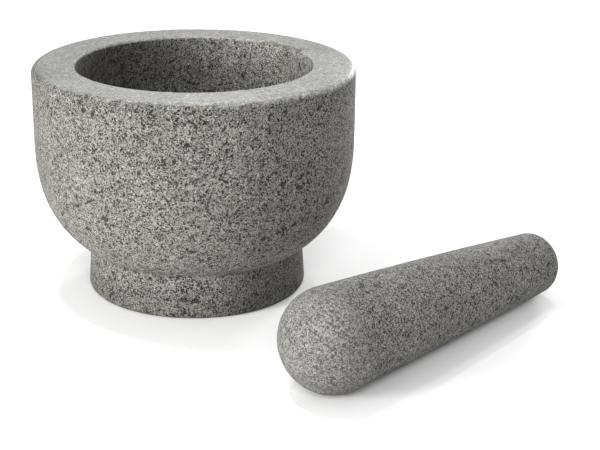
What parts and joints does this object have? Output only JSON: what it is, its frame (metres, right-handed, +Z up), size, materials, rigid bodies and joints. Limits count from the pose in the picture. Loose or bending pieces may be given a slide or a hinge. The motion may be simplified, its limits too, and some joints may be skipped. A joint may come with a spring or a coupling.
{
  "type": "mortar and pestle",
  "caption": "Granite mortar with a thick flat rim, a deep round bowl and a short drum foot, with a round-headed tapered granite pestle lying beside it.",
  "frame": {"origin": "centre of the flat base of the mortar, on the mortar's axis, on the surface that both stones stand on", "axes": "+Z up along the mortar's axis; -Y towards the side where the pestle lies; the pestle lies at -Y, its tail towards +X"},
  "size_m": [0.2935, 0.268, 0.129],
  "materials": {
    "mortar_granite": "honed rim, finely tooled side, ground bowl",
    "pestle_granite": "finely tooled"
  },
  "bodies": {
    "mortar_body": {"mortar": "mortar_granite"},
    "pestle_body": {"pestle": "pestle_granite"}
  },
  "joints": [
    {"name": "pestle_lift", "type": "slide", "parent": "mortar_body", "child": "pestle_body", "axis": [0, 0, 1], "range_m": [0, 0.2]}
  ]
}
